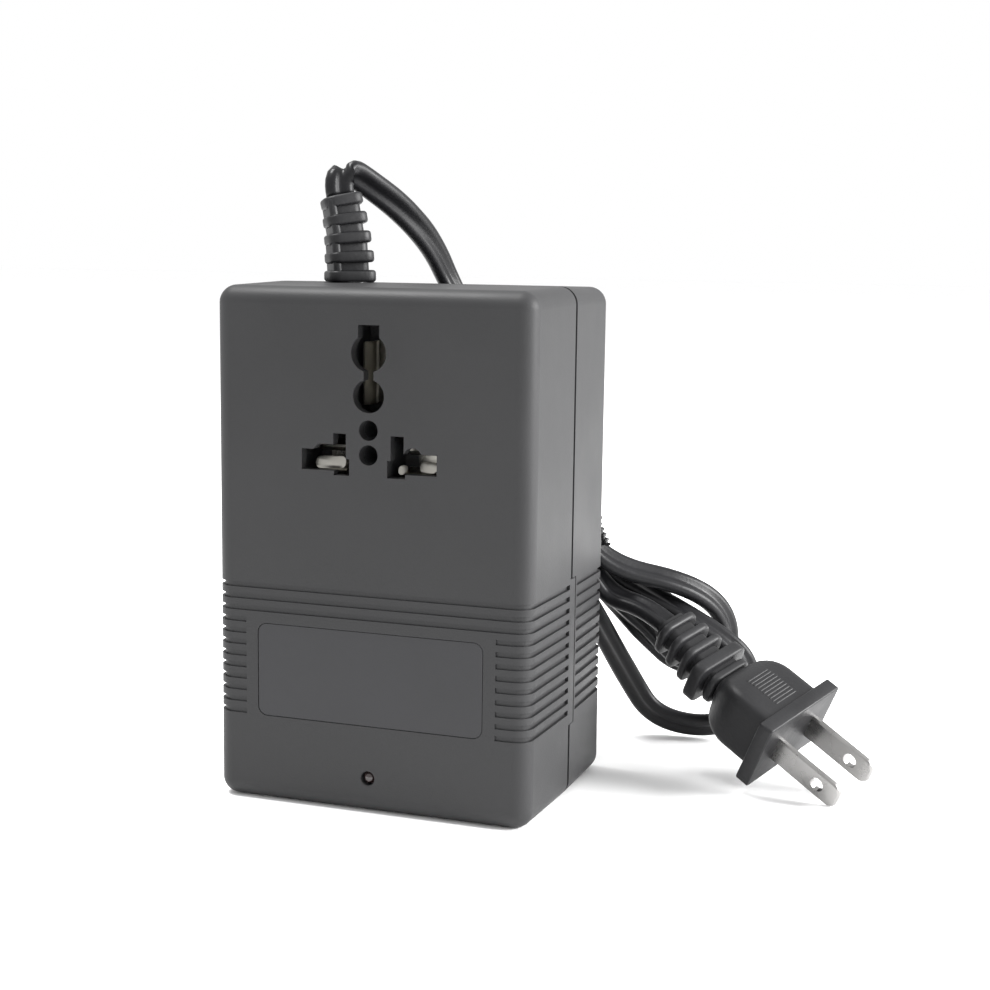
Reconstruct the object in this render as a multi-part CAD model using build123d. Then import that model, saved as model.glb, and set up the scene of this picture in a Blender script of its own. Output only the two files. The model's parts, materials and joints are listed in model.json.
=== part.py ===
"""Travel voltage converter: a two-shell plastic case with a universal socket, a transformer inside,
a ribbed cord boot on top and a flat twin cord, tied in a hank, that ends in a two-blade plug.

Millimetres. X runs to the right seen from the front, Y away from the front, Z up. The origin is at
the middle of the base, below the parting plane (Y = 0) where the front and rear shells meet."""

from build123d import *
import math
import os

# Case
case_width = 72.0
case_height = 110.6
front_depth = 26.0
rear_depth = 26.0
case_draft = 1.15
corner_radius = 3.8
edge_radius = 3.7
side_wall = 2.2
face_wall = 2.4
overrun = 5.0

# Seam between the shells: a rear tongue in a front rebate, and a locating tab on each side
seam_reveal = 1.1
tongue_thickness = 0.95
tongue_height = 1.6
tongue_setback = 0.1
seam_clearance = 0.15
tab_reach = 2.7
tab_bottom = 16.5
tab_top = 48.5

# Grooves around the lower half
groove_count = 12
full_grooves = 3
groove_pitch = 2.5
groove_width = 1.1
groove_depth = 0.7
groove_face_depth = 0.35
groove_first_height = 19.4
front_rim = 1.1
rear_rim = 1.3
panel_width = 56.6

# Rating plate, left bare, and its recess
label_width = 50.9
label_height = 19.9
label_bottom = 18.9
label_corner = 2.0
label_thickness = 0.3
label_recess = 0.4
label_clearance = 0.15

# Socket openings in the front face, measured from the middle of the face and from the base
earth_slot_width = 4.7
earth_slot_top = 102.6
earth_hole_radius = 3.9
earth_hole_height = 96.9
second_hole_radius = 3.45
second_hole_height = 88.1
neck_width = 2.2
guide_radius = 2.1
guide_heights = (81.1, 76.0)
slot_bottom = 72.4
slot_top = 76.75
slot_outer = 15.1
slot_inner = 5.05
ramp_outer = 12.5
ramp_inner = 11.3
ramp_top = 77.9
left_notch_outer = 7.9
notch_top = 80.2
foot_bottom = 71.5
left_foot = (4.3, 7.8)
left_foot_top = 75.0
right_slot = (4.95, 7.85)
right_foot = (4.2, 8.2)
right_foot_top = 75.1
dome_centre = 9.8
dome_radius = 2.1
dome_height = 75.85

# Contact carrier behind the openings
carrier_width = 38.0
carrier_bottom = 69.3
carrier_top = 105.0
carrier_depth = 11.0
carrier_corner = 2.5
carrier_floor = 1.6
carrier_clearance = 0.15
pocket_margin = 1.1
pocket_corner = 1.0
guide_depth = 6.0
ear_span = 46.0
ear_width = 7.0
ear_thickness = 2.0
ear_setback = 3.0
ear_height = 91.0

# Contacts, folded from brass strip
strip = 0.5
leaf_length = 8.0
pinch_at = 4.8
leaf_pinch = 1.5
leaf_flare = 2.7
leaf_root = 3.0
blade_contact_width = 7.0
earth_contact_width = 13.0
tag_width = 3.0
tag_length = 7.0
tag_clearance = 0.05

# Screws
screw_shank = 2.9
screw_head = 5.6
screw_head_height = 2.0
screw_recess = 1.0
screw_clearance = 0.05
boss_diameter = 7.0
well_diameter = 9.0
boss_inset = 6.4
boss_top_inset = 7.4
case_screw_length = 27.0
case_screw_depth = 12.0
carrier_screw_length = 4.8
core_screw_length = 32.0
core_washer = 7.4
washer_thickness = 0.6

# Indicator lamp and its board
lamp_height = 7.6
lamp_diameter = 2.9
lamp_flange = 3.8
lamp_flange_height = 0.9
lamp_recess = 0.25
lamp_stand = 0.3
lamp_clearance = 0.1
lead_diameter = 0.5
lead_spacing = 2.54
lead_tail = 0.9
dimple_radius = 1.9
dimple_depth = 0.35
board_width = 20.0
board_height = 8.4
board_thickness = 1.2
peg_span = 15.0
peg_diameter = 3.6
peg_pin = 1.6
peg_tail = 0.8
resistor_length = 6.3
resistor_diameter = 2.3
resistor_drop = 1.6
resistor_lead_span = 9.4

# Transformer
core_clearance = 5.3
core_headroom = 7.3
core_back_share = 1 / 6
core_leg_share = 1 / 3
core_window_share = 1 / 2
core_stack = 23.0
core_bottom = 14.5
bobbin_wall = 1.0
bobbin_clearance = 0.25
bobbin_side = 8.4
winding_inset = 0.8
winding_corner = 4.0
tape_thickness = 0.3
tape_margin = 2.0
tape_clearance = 0.05
fuse_length = 9.0
fuse_width = 4.2
fuse_thickness = 2.4
lug_length = 6.0
lug_width = 1.6
lug_thickness = 0.4
lug_count = 6
lug_margin = 2.0
lug_distance = 17.0

# Leads inside the case
lead_wire = 1.7
lead_sides = 8
lead_bend = 2.2
lead_level = 66.5
lead_back = 2.5
supply_level = 64.3
supply_depth = 3.0
supply_start = 3.0
supply_turn = 92.0
supply_drop = 84.0
lamp_lead_start = 8.2
lamp_lead_clearance = 3.05
lamp_lead_level = 64.3

# Cord boot, bending a little to the left
boot_x = -16.1
boot_lean = 14.4
boot_neck = (9.0, 8.0)
boot_flange = (14.0, 12.0)
boot_flange_thickness = 2.4
boot_core = (7.8, 6.4)
boot_rib = (12.1, 9.6)
boot_rib_taper = 2.4
boot_rib_thickness = 2.5
boot_rib_count = 5
boot_height = 20.0
boot_corner = 1.6
boot_clearance = 0.1

# Plug, with two flat blades in line
plug_face_at = (80.2, 25.1, 12.05)
plug_axis = (0.832, -0.262, -0.489)
plug_across = (0.411, 0.885, 0.222)
flange_size = (26.0, 17.5)
flange_thickness = 3.4
flange_corner = 0.8
grip_size = (19.8, 15.4)
grip_length = 15.0
grip_corner = 3.0
grip_profile_shares = ((0, 1, 1), (0.52, 1, 0.95), (0.76, 0.93, 0.84), (0.92, 0.78, 0.66), (1, 0.62, 0.5))
grip_ridges = 10
ridge_pitch = 0.9
ridge_height = 0.25
ridge_length = 7.5
ridge_start = 2.2
neck_size = (10.5, 6.5)
neck_gap = 0.8
neck_ring = (13.6, 7.6)
neck_ring_thickness = 2.2
collar_gap = 0.8
collar_size = (17.0, 10.0)
collar_thickness = 3.2
collar_corner = 2.0
relief_count = 3
relief_pitch = 3.93
relief_rib_thickness = 1.8
relief_first = (13.2, 9.2)
relief_taper = 0.5
relief_core = (8.6, 5.8)
relief_end = 1.4
relief_rise = 2.0
blade_spacing = 12.7
blade_width = 6.35
blade_thickness = 1.5
blade_length = 17.5
blade_hole = 3.1
blade_hole_at = 11.9
blade_root = 9.0
blade_tip = 1.6

# Flat twin cord
cord_width = 6.4
cord_thickness = 3.2
cord_web = 1.5
conductor_sides = 8
bend_share = 0.45

# Free stretch of the cord, from the boot over the back of the case to the hank
lead_points = (
    (-17.3, 2.6, 136.3), (-14.5, 8.0, 133.6), (-10.4, 17.0, 128.6),
    (-7.5, 27.0, 120.9), (-5.7, 34.5, 109.8), (3.9, 36.6, 92.0),
)
lead_rise = 4.0
lead_end = 15.0

# Hank: the middle of its waist, the way it points, and the lie of its strands
tie_at = (28.15, 39.5, 47.6)
hank_way = (0.62, 0.15, -0.77)
strand_pitch = 4.3
layer_pitch = 7.0
waist_below = 4.5
waist_above = 8.0
hank_lean_share = 0.2
lobe_shares = ((0.54, 1), (0.8, 1.08), (1, 0), (0.8, -1.08), (0.54, -1))
front_lobe = (42.7, 9.0, 12.7)
back_lobe = (58.0, 13.4, -4.8)
upper_front_lobe = (54.0, 8.5, -15.0)
upper_back_lobe = (44.0, 8.0, 10.0)
front_lobe_layer_share = 0.95
back_lobe_layer_share = 1.95

# Tie round the waist of the hank
tie_setback = 4.5
tie_width = 2.6
tie_thickness = 0.8
tie_clearance = 0.4
tie_twist = 1.8
tie_twist_length = 7.0

# Last stretch of the cord, from the hank into the plug's relief
tail_start = 6.0
tail_end = 7.0


def front(distance):
    """The plane parallel to the front face, that distance in front of the parting plane."""
    return Plane.XZ.offset(distance)


def outline(distance, inset):
    """The rounded outline of the case at the parting plane, inset all round and set at one distance."""
    width = case_width - 2 * inset
    height = case_height - 2 * inset
    with BuildSketch(front(distance)) as sketch:
        with Locations((0, inset + height / 2)):
            RectangleRounded(width, height, corner_radius - min(inset, side_wall))
    return sketch.sketch


def half_form(side, depth, inset, face_inset):
    """One half of the case as a drafted block; side is 1 for the front and -1 for the rear."""
    reach = side * (depth - face_inset)
    narrowing = abs(reach) * math.tan(math.radians(case_draft))
    half, top = case_width / 2 - inset, case_height - inset
    plan = make_face(Polyline((-half, 0), (half, 0), (half - narrowing, -reach), (narrowing - half, -reach),
                              close=True))
    profile = make_face(Polyline((0, inset), (-reach, inset), (-reach, top - narrowing), (0, top), close=True))
    block = extrude(plan, amount=case_height) & extrude(Plane.YZ * profile, amount=half, both=True)
    lengthwise = block.edges().filter_by(lambda edge: abs((edge % 0).Y) > abs((edge % 0).cross(Vector(0, 1, 0))))
    block = fillet(lengthwise, corner_radius - min(inset, side_wall))
    face = block.faces().sort_by(Axis.Y)[0 if side > 0 else -1]
    return fillet(face.edges(), edge_radius - face_inset)


def rim_ring(side, outer_inset, inner_inset, start, end):
    """A band of the wall's thickness along the seam, from start to end in front of the parting plane."""
    band = outline(start, outer_inset) - outline(start, inner_inset)
    return extrude(band, amount=end - start)


def groove_section(side, depth, rim):
    """The U-shaped strip, in plan, that one groove takes off the sides and the face of a shell."""
    slope = math.tan(math.radians(case_draft))
    half = case_width / 2 - groove_depth
    face = depth - groove_face_depth
    inner = Polyline((-half + rim * slope, -side * rim), (-half + face * slope, -side * face),
                     (half - face * slope, -side * face), (half - rim * slope, -side * rim))
    plain = make_face(inner + Line((half - rim * slope, -side * rim), (-half + rim * slope, -side * rim)))
    corners = plain.vertices().sort_by(Axis.Y)[:2] if side > 0 else plain.vertices().sort_by(Axis.Y)[-2:]
    kept = fillet(corners, edge_radius - groove_face_depth)
    reach = depth + overrun - rim
    band = Pos(0, -side * (rim + reach / 2)) * Rectangle(case_width + 2 * overrun, reach)
    return band - kept


def groove_cutter(side, depth, rim, panelled):
    """All the grooves of a shell; where panelled, the lower ones stop beside the rating plate."""
    section = groove_section(side, depth, rim)
    panel = Pos(0, -side * depth) * Rectangle(panel_width, 2 * overrun)
    cuts = []
    for index in range(groove_count):
        height = groove_first_height + index * groove_pitch
        full = not panelled or index >= groove_count - full_grooves
        shape = section if full else section - panel
        cuts.append(extrude(Pos(0, 0, height - groove_width / 2) * shape, amount=groove_width))
    return cuts


def slot(x_range, z_range):
    """A rectangle of the socket's opening, from its left and right sides and its bottom and top."""
    middle = (sum(x_range) / 2, sum(z_range) / 2)
    return Pos(*middle) * Rectangle(abs(x_range[1] - x_range[0]), z_range[1] - z_range[0])


def earth_opening():
    """The slot and two round holes above the middle, joined by a narrow neck."""
    half = earth_slot_width / 2
    shape = slot((-half, half), (earth_hole_height, earth_slot_top))
    shape += Pos(0, earth_hole_height) * Circle(earth_hole_radius)
    shape += Pos(0, second_hole_height) * Circle(second_hole_radius)
    shape += slot((-neck_width / 2, neck_width / 2), (second_hole_height, earth_hole_height))
    return shape


def left_opening():
    """The wide slot on the left, with its ramp, its upper notch and its foot."""
    bar = Polyline((-slot_outer, slot_bottom), (-slot_outer, slot_top), (-ramp_outer, slot_top),
                   (-ramp_inner, ramp_top), (-slot_inner, ramp_top), (-slot_inner, slot_bottom),
                   close=True)
    shape = make_face(bar)
    shape += slot((-left_notch_outer, -slot_inner), (ramp_top, notch_top))
    shape += slot((-left_foot[1], -left_foot[0]), (foot_bottom, left_foot_top))
    return shape


def right_opening():
    """The upright slot on the right with its wider foot, the round hole and the outer slot."""
    shape = slot(right_slot, (foot_bottom, notch_top))
    shape += slot(right_foot, (foot_bottom, right_foot_top))
    shape += slot((dome_centre, slot_outer), (slot_bottom, slot_top))
    shape += slot((right_foot[0], dome_centre), (slot_bottom, right_foot_top))
    shape += Pos(dome_centre, dome_height) * Circle(dome_radius)
    return shape


def socket_openings():
    """Everything that is cut through the face for the socket."""
    shape = earth_opening() + left_opening() + right_opening()
    for height in guide_heights:
        shape += Pos(0, height) * Circle(guide_radius)
    return shape


def at_front(shape, distance):
    """A sketch drawn in x and z, set on the plane that distance in front of the parting plane."""
    return front(distance) * shape


def boss_places():
    """The four places of the case screws, in x and z."""
    x = case_width / 2 - boss_inset
    return [(sx * x, z) for sx in (-1, 1) for z in (boss_inset, case_height - boss_top_inset)]


def core_length():
    """The length of the laminations, which fill the room between the side walls and below the carrier."""
    beside = case_width - 2 * (side_wall + core_clearance)
    below = (carrier_bottom - core_headroom - core_bottom) / (2 * core_back_share + core_window_share)
    return min(beside, below)


def core_back():
    """The width of the laminations' back."""
    return core_back_share * core_length()


def core_window():
    """The height of the window that the coil fills."""
    return core_window_share * core_length()


def core_hole_places():
    """The four corner holes of the laminations, in x and z."""
    x = (core_length() - core_back()) / 2
    height = core_height()
    return [(sx * x, core_bottom + z) for sx in (-1, 1) for z in (core_back() / 2, height - core_back() / 2)]


def pilot_hole():
    """The hole that a screw cuts its thread in."""
    return screw_shank + 2 * screw_clearance


def core_height():
    """The height of the E and I laminations together."""
    return 2 * core_back() + core_window()


def pillars(places, diameter, start, end):
    """Round pillars or holes square to the face, between two distances in front of the parting plane."""
    discs = [Pos(x, z) * Circle(diameter / 2) for x, z in places]
    return [extrude(at_front(disc, start), amount=end - start) for disc in discs]


def label_area(margin):
    """The rounded rectangle of the rating plate, grown by a margin."""
    middle = label_bottom + label_height / 2
    return Pos(0, middle) * RectangleRounded(label_width + 2 * margin, label_height + 2 * margin,
                                             label_corner + margin)


def boot_opening(margin):
    """The hole in the top wall for the neck of the boot, in plan."""
    wide, deep = boot_neck
    return Pos(boot_x, 0) * RectangleRounded(wide + 2 * margin, deep + 2 * margin, boot_corner)


def tab_form(inset, clearance, reach):
    """The locating tabs of the front shell, on both sides, past the parting plane."""
    height = tab_top - tab_bottom + 2 * clearance
    deep = reach + tongue_height
    blocks = []
    for sx in (-1, 1):
        x = sx * (case_width / 2 - inset / 2 + overrun / 2)
        place = Pos(x, reach - deep / 2, (tab_top + tab_bottom) / 2)
        blocks.append(place * Box(inset + overrun, deep, height))
    return blocks


def carrier_boss_places():
    """The two places where screws hold the contact carrier, in x and z."""
    return [(sx * ear_span / 2, ear_height) for sx in (-1, 1)]


def peg_places():
    """The two pegs that carry the lamp's board, in x and z."""
    return [(sx * peg_span / 2, lamp_height) for sx in (-1, 1)]


def board_distance():
    """How far in front of the parting plane the back of the lamp's board lies."""
    stack = lamp_clearance + lamp_flange_height + lamp_stand + board_thickness
    return front_depth - face_wall - stack


def front_shell():
    """The front half of the case, with the socket's openings, its bosses and its pegs."""
    inner = front_depth - face_wall
    shell = half_form(1, front_depth, 0, 0) - half_form(1, front_depth, side_wall, face_wall)
    skin = side_wall - tongue_thickness - seam_clearance
    shell -= rim_ring(1, -overrun, skin, 0, seam_reveal / 2)
    shell -= rim_ring(1, skin, side_wall + seam_clearance, 0, tongue_height + seam_clearance)
    outer = half_form(-1, rear_depth, 0, 0) + half_form(1, front_depth, 0, 0)
    for tab in tab_form(skin, 0, tab_reach):
        shell += tab & outer
    shell += pillars(boss_places(), boss_diameter, tongue_height, inner)
    shell -= pillars(boss_places(), pilot_hole(), tongue_height, inner - side_wall)
    shell += pillars(carrier_boss_places(), boss_diameter, inner - ear_setback, inner)
    shell -= pillars(carrier_boss_places(), pilot_hole(), inner - ear_setback, inner + face_wall / 2)
    shell += pillars(peg_places(), peg_diameter, board_distance() + board_thickness, inner)
    shell += pillars(peg_places(), peg_pin, board_distance() - peg_tail, inner)
    shell -= groove_cutter(1, front_depth, front_rim, True)
    shell -= extrude(at_front(label_area(label_clearance), front_depth - label_recess), amount=overrun)
    shell -= extrude(at_front(socket_openings(), inner - overrun), amount=2 * overrun)
    shell -= pillars([(0, lamp_height)], lamp_diameter + 2 * lamp_clearance, inner - overrun, front_depth)
    dimple = Sphere((dimple_radius ** 2 + dimple_depth ** 2) / (2 * dimple_depth))
    lift = (dimple_radius ** 2 - dimple_depth ** 2) / (2 * dimple_depth)
    shell -= Pos(0, -front_depth - lift, lamp_height) * dimple
    shell -= extrude(Plane.XY.offset(case_height - overrun) * boot_opening(boot_clearance), amount=2 * overrun)
    return shell


def rear_shell():
    """The rear half of the case, with the tongue, the screw wells and the transformer's seats."""
    inner = rear_depth - face_wall
    shell = half_form(-1, rear_depth, 0, 0) - half_form(-1, rear_depth, side_wall, face_wall)
    skin = side_wall - tongue_thickness
    shell -= rim_ring(-1, -overrun, skin, 0, -seam_reveal / 2)
    shell += rim_ring(-1, skin, side_wall - tongue_setback, -seam_reveal / 2, tongue_height)
    for tab in tab_form(skin, seam_clearance, tab_reach + seam_reveal / 2):
        shell -= tab & half_form(-1, rear_depth, -overrun, 0)
    well_floor = -rear_depth + case_screw_depth + side_wall
    shell += pillars(boss_places(), boss_diameter, -inner, tongue_height - seam_clearance)
    shell += pillars(boss_places(), well_diameter, -inner, well_floor)
    shell -= pillars(boss_places(), screw_shank + 2 * seam_clearance, -rear_depth, tongue_height)
    shell -= pillars(boss_places(), screw_head + 2 * seam_clearance, -rear_depth - overrun,
                     -rear_depth + case_screw_depth)
    seat = -core_stack / 2
    shell += pillars(core_hole_places(), boss_diameter, -inner, seat)
    shell -= pillars(core_hole_places(), pilot_hole(), -inner + side_wall / 2, seat)
    shell -= groove_cutter(-1, rear_depth, tab_reach + rear_rim, False)
    shell -= extrude(Plane.XY.offset(case_height - overrun) * boot_opening(boot_clearance), amount=2 * overrun)
    return shell


def rating_plate():
    """The bare plate that lies in the shallow recess below the socket."""
    return extrude(at_front(label_area(0), front_depth - label_recess), amount=label_thickness)


def pocket(x_range, z_range, start, end):
    """A chamber of the carrier, from start to end in front of the parting plane."""
    middle = (sum(x_range) / 2, sum(z_range) / 2)
    shape = Pos(*middle) * RectangleRounded(x_range[1] - x_range[0], z_range[1] - z_range[0], pocket_corner)
    return extrude(at_front(shape, start), amount=end - start)


def carrier_front():
    """The distance of the carrier's front end from the parting plane."""
    return front_depth - face_wall - carrier_clearance


def carrier_back():
    """The distance of the carrier's back from the parting plane."""
    return carrier_front() - carrier_depth


def contact_floor():
    """The distance of the pocket floors from the parting plane."""
    return carrier_back() + carrier_floor


def blade_contact_place(side):
    """The middle of a blade contact, in x and z; side is -1 on the left and 1 on the right."""
    return side * (slot_outer + slot_inner) / 2, (slot_bottom + slot_top) / 2


def earth_contact_place():
    """The middle of the earth contact, in x and z."""
    return 0, (earth_hole_height + second_hole_height) / 2


def tag_places():
    """Where the three solder tags pass through the carrier's floor."""
    return [blade_contact_place(-1), blade_contact_place(1), earth_contact_place()]


def contact_carrier():
    """The moulded carrier with a chamber for each contact, two guide holes and two ears."""
    middle = (carrier_bottom + carrier_top) / 2
    plan = Pos(0, middle) * RectangleRounded(carrier_width, carrier_top - carrier_bottom, carrier_corner)
    body = extrude(at_front(plan, carrier_back()), amount=carrier_depth)
    ear = Pos(0, ear_height) * SlotOverall(ear_span + ear_width, ear_width)
    ear_front = front_depth - face_wall - ear_setback
    body += extrude(at_front(ear, ear_front - ear_thickness), amount=ear_thickness)
    top = carrier_front() + overrun
    reach = earth_hole_radius + pocket_margin
    low = second_hole_height - second_hole_radius - pocket_margin
    body -= pocket((-reach, reach), (low, earth_slot_top + pocket_margin), contact_floor(), top)
    inner, outer = left_foot[0] - pocket_margin, slot_outer + pocket_margin
    levels = (foot_bottom - pocket_margin, notch_top + pocket_margin)
    body -= pocket((-outer, -inner), levels, contact_floor(), top)
    body -= pocket((inner, outer), levels, contact_floor(), top)
    guides = [(0, height) for height in guide_heights]
    body -= pillars(guides, 2 * guide_radius, carrier_front() - guide_depth, top)
    body -= pillars(carrier_boss_places(), pilot_hole(), ear_front - 2 * ear_thickness, top)
    tag_hole = (tag_width + 2 * tag_clearance, strip + 2 * tag_clearance)
    for place in tag_places():
        hole = Pos(*place) * Rectangle(*(tag_hole if place[0] else tag_hole[::-1]))
        body -= extrude(at_front(hole, carrier_back() - overrun), amount=2 * overrun)
    return body


def spring_contact(place, width, across):
    """A brass spring of two bent leaves and a solder tag; the leaves face each other along across."""
    x, z = place
    along = Vector(1, 0, 0) if across == Vector(0, 0, 1) else Vector(0, 0, 1)
    normal = Vector(0, -1, 0).cross(across)
    start = Vector(x, -(contact_floor() + strip / 2), z) - normal * (width / 2)
    plane = Plane(origin=start, x_dir=(0, -1, 0), z_dir=normal)
    bend = Polyline((leaf_length, leaf_flare), (pinch_at, leaf_pinch), (0, leaf_root),
                    (0, -leaf_root), (pinch_at, -leaf_pinch), (leaf_length, -leaf_flare))
    spring = extrude(plane * trace(bend, strip), amount=width)
    size = along * tag_width + across * strip + Vector(0, tag_length, 0)
    tag = Pos(x, -contact_floor() + tag_length / 2, z) * Box(abs(size.X), size.Y, abs(size.Z))
    return spring + tag


def socket_contact(side):
    """The live contact on the left or the neutral contact on the right."""
    return spring_contact(blade_contact_place(side), blade_contact_width, Vector(0, 0, 1))


def earth_contact():
    """The earth contact behind the two round holes."""
    return spring_contact(earth_contact_place(), earth_contact_width, Vector(1, 0, 0))


def screw(x, z, seat, length, forward):
    """A pan-head screw whose head seats at one distance; forward is 1 if its point looks to the front."""
    shank = extrude(at_front(Pos(x, z) * Circle(screw_shank / 2), seat), amount=forward * length)
    head = extrude(at_front(Pos(x, z) * Circle(screw_head / 2), seat), amount=-forward * screw_head_height)
    top = head.faces().sort_by(Axis.Y)[-1 if forward > 0 else 0]
    head = chamfer(top.edges(), screw_head_height / 3)
    recess_at = seat - forward * screw_head_height
    cross = Rectangle(screw_head / 2, screw_recess / 2) + Rectangle(screw_recess / 2, screw_head / 2)
    cut = extrude(at_front(Pos(x, z) * cross, recess_at), amount=forward * screw_recess)
    return shank + head - cut


def case_screws():
    """The four screws in the wells of the rear shell."""
    seat = -rear_depth + case_screw_depth
    return [screw(x, z, seat, case_screw_length, 1) for x, z in boss_places()]


def carrier_screws():
    """The two screws that hold the contact carrier."""
    seat = front_depth - face_wall - ear_setback - ear_thickness
    return [screw(x, z, seat, carrier_screw_length, 1) for x, z in carrier_boss_places()]


def core_screws():
    """The four long screws through the laminations into the rear shell."""
    seat = core_stack / 2 + washer_thickness
    return [screw(x, z, seat, core_screw_length, -1) for x, z in core_hole_places()]


def core_washers():
    """The washers under the heads of the core screws."""
    ring = Circle(core_washer / 2) - Circle(pilot_hole() / 2)
    return [extrude(at_front(Pos(*place) * ring, core_stack / 2), amount=washer_thickness)
            for place in core_hole_places()]


def indicator_lamp():
    """The small round lamp, with its flange behind the face and two leads through the board."""
    flange_front = front_depth - face_wall - lamp_clearance
    flange_back = flange_front - lamp_flange_height
    radius = lamp_diameter / 2
    dome_at = front_depth - lamp_recess - radius
    place = Pos(0, lamp_height)
    lamp = extrude(at_front(place * Circle(lamp_flange / 2), flange_back), amount=lamp_flange_height)
    lamp += extrude(at_front(place * Circle(radius), flange_back), amount=dome_at - flange_back)
    lamp += Pos(0, -dome_at, lamp_height) * Sphere(radius)
    lead_end = board_distance() - lead_tail
    for sx in (-1, 1):
        lead = Pos(sx * lead_spacing / 2, lamp_height) * Circle(lead_diameter / 2)
        lamp += extrude(at_front(lead, lead_end), amount=flange_back - lead_end)
    return lamp


def lamp_board():
    """The small board that carries the lamp and its resistor, held on the two pegs."""
    plan = Pos(0, lamp_height) * Rectangle(board_width, board_height)
    for x, z in peg_places():
        plan -= Pos(x, z) * Circle(peg_pin / 2 + lamp_clearance)
    lead_hole = Circle(lead_diameter / 2 + lamp_clearance)
    for sx in (-1, 1):
        plan -= Pos(sx * lead_spacing / 2, lamp_height) * lead_hole
        plan -= Pos(sx * resistor_lead_span / 2, lamp_height - resistor_drop) * lead_hole
    return extrude(at_front(plan, board_distance()), amount=board_thickness)


def lamp_resistor():
    """The resistor behind the board, below the lamp's leads, with its own leads bent into the board."""
    z = lamp_height - resistor_drop
    y = -(board_distance() - lead_tail - resistor_diameter / 2)
    body = Pos(0, y, z) * Rot(0, 90, 0) * Cylinder(resistor_diameter / 2, resistor_length)
    body = chamfer(body.edges().filter_by(GeomType.CIRCLE), resistor_diameter / 6)
    half = resistor_lead_span / 2
    front_y = -(board_distance() + board_thickness)
    path = FilletPolyline((-half, front_y, z), (-half, y, z), (half, y, z), (half, front_y, z),
                          radius=lead_diameter)
    lead = sweep(Plane(path @ 0, z_dir=path % 0) * RegularPolygon(lead_diameter / 2, lead_sides), path=path)
    return body + lead


def bobbin_half():
    """Half the width and half the depth of the bobbin's flanges."""
    return core_length() / 2 - core_back() - bobbin_clearance, core_stack / 2 + bobbin_side


def bobbin_levels():
    """The bottom and the top of the bobbin."""
    low = core_bottom + core_back()
    return low + bobbin_clearance, low + core_window() - bobbin_clearance


def core_plate(shape):
    """A stack of laminations of one outline, with the corner holes that lie in it."""
    for x, z in core_hole_places():
        shape -= Pos(x, z) * Circle(pilot_hole() / 2)
    return extrude(at_front(shape, -core_stack / 2), amount=core_stack)


def core_e_stack():
    """The E laminations, with their back at the bottom and three legs."""
    half, back = core_length() / 2, core_back()
    legs_top = core_bottom + back + core_window()
    shape = slot((-half, half), (core_bottom, legs_top))
    leg = core_leg_share * half
    for sx in (-1, 1):
        shape -= slot(sorted((sx * leg, sx * (half - back))), (core_bottom + back, legs_top))
    return core_plate(shape)


def core_i_stack():
    """The I laminations, which close the core on top of the three legs."""
    half, top = core_length() / 2, core_bottom + core_height()
    return core_plate(slot((-half, half), (top - core_back(), top)))


def ring_block(inner, outer, corner, levels):
    """A square ring round the middle leg, with rounded outer corners, between two levels."""
    shape = RectangleRounded(2 * outer[0], 2 * outer[1], corner) - Rectangle(2 * inner[0], 2 * inner[1])
    return extrude(Plane.XY.offset(levels[0]) * shape, amount=levels[1] - levels[0])


def bobbin_hole():
    """Half the width and half the depth of the bobbin's square hole."""
    return core_leg_share * core_length() / 2 + bobbin_clearance, core_stack / 2 + bobbin_clearance


def grown(pair, margin):
    """A pair of half sizes, both grown by a margin."""
    return pair[0] + margin, pair[1] + margin


def coil_bobbin():
    """The bobbin: a square tube round the middle leg with a flange at each end."""
    low, high = bobbin_levels()
    corner = winding_corner / 2
    body = ring_block(bobbin_hole(), grown(bobbin_hole(), bobbin_wall), bobbin_wall / 2, (low, high))
    body += ring_block(bobbin_hole(), bobbin_half(), corner, (low, low + bobbin_wall))
    body += ring_block(bobbin_hole(), bobbin_half(), corner, (high - bobbin_wall, high))
    return body


def coil_winding():
    """The windings, filling the bobbin to just below the edge of its flanges."""
    low, high = bobbin_levels()
    levels = (low + bobbin_wall, high - bobbin_wall)
    inner = grown(bobbin_hole(), bobbin_wall)
    return ring_block(inner, grown(bobbin_half(), -winding_inset), winding_corner, levels)


def winding_tape():
    """The layer of tape round the outside of the windings."""
    low, high = bobbin_levels()
    levels = (low + bobbin_wall + tape_margin, high - bobbin_wall - tape_margin)
    inner = grown(bobbin_half(), tape_clearance - winding_inset)
    outer = grown(inner, tape_thickness)
    corner = winding_corner + tape_clearance
    shape = RectangleRounded(2 * outer[0], 2 * outer[1], corner + tape_thickness)
    shape -= RectangleRounded(2 * inner[0], 2 * inner[1], corner)
    return extrude(Plane.XY.offset(levels[0]) * shape, amount=levels[1] - levels[0])


def tape_face():
    """The distance of the tape's front from the parting plane."""
    return bobbin_half()[1] + tape_clearance - winding_inset + tape_thickness


def thermal_fuse():
    """The thermal cut-out that lies against the taped winding."""
    middle = sum(bobbin_levels()) / 2
    plan = Pos(0, middle) * RectangleRounded(fuse_length, fuse_width, fuse_thickness / 4)
    return extrude(at_front(plan, tape_face()), amount=fuse_thickness)


def lug_places():
    """The x places of the lugs that stand on the bobbin's top flange."""
    end = bobbin_half()[0] - lug_margin
    return [end * (2 * index / (lug_count - 1) - 1) for index in range(lug_count)]


def coil_lugs():
    """The solder lugs on the bobbin's top flange, where the windings end."""
    top = bobbin_levels()[1] + lug_length / 2
    return [Pos(x, -lug_distance, top) * Box(lug_width, lug_thickness, lug_length) for x in lug_places()]


def lead(points):
    """A round insulated lead along straight runs with one bend radius."""
    path = FilletPolyline(*points, radius=lead_bend)
    return sweep(Plane(path @ 0, z_dir=path % 0) * RegularPolygon(lead_wire / 2, lead_sides), path=path)


def lug_top():
    """The level at which the leads meet the lugs."""
    return bobbin_levels()[1] + lug_length


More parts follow.
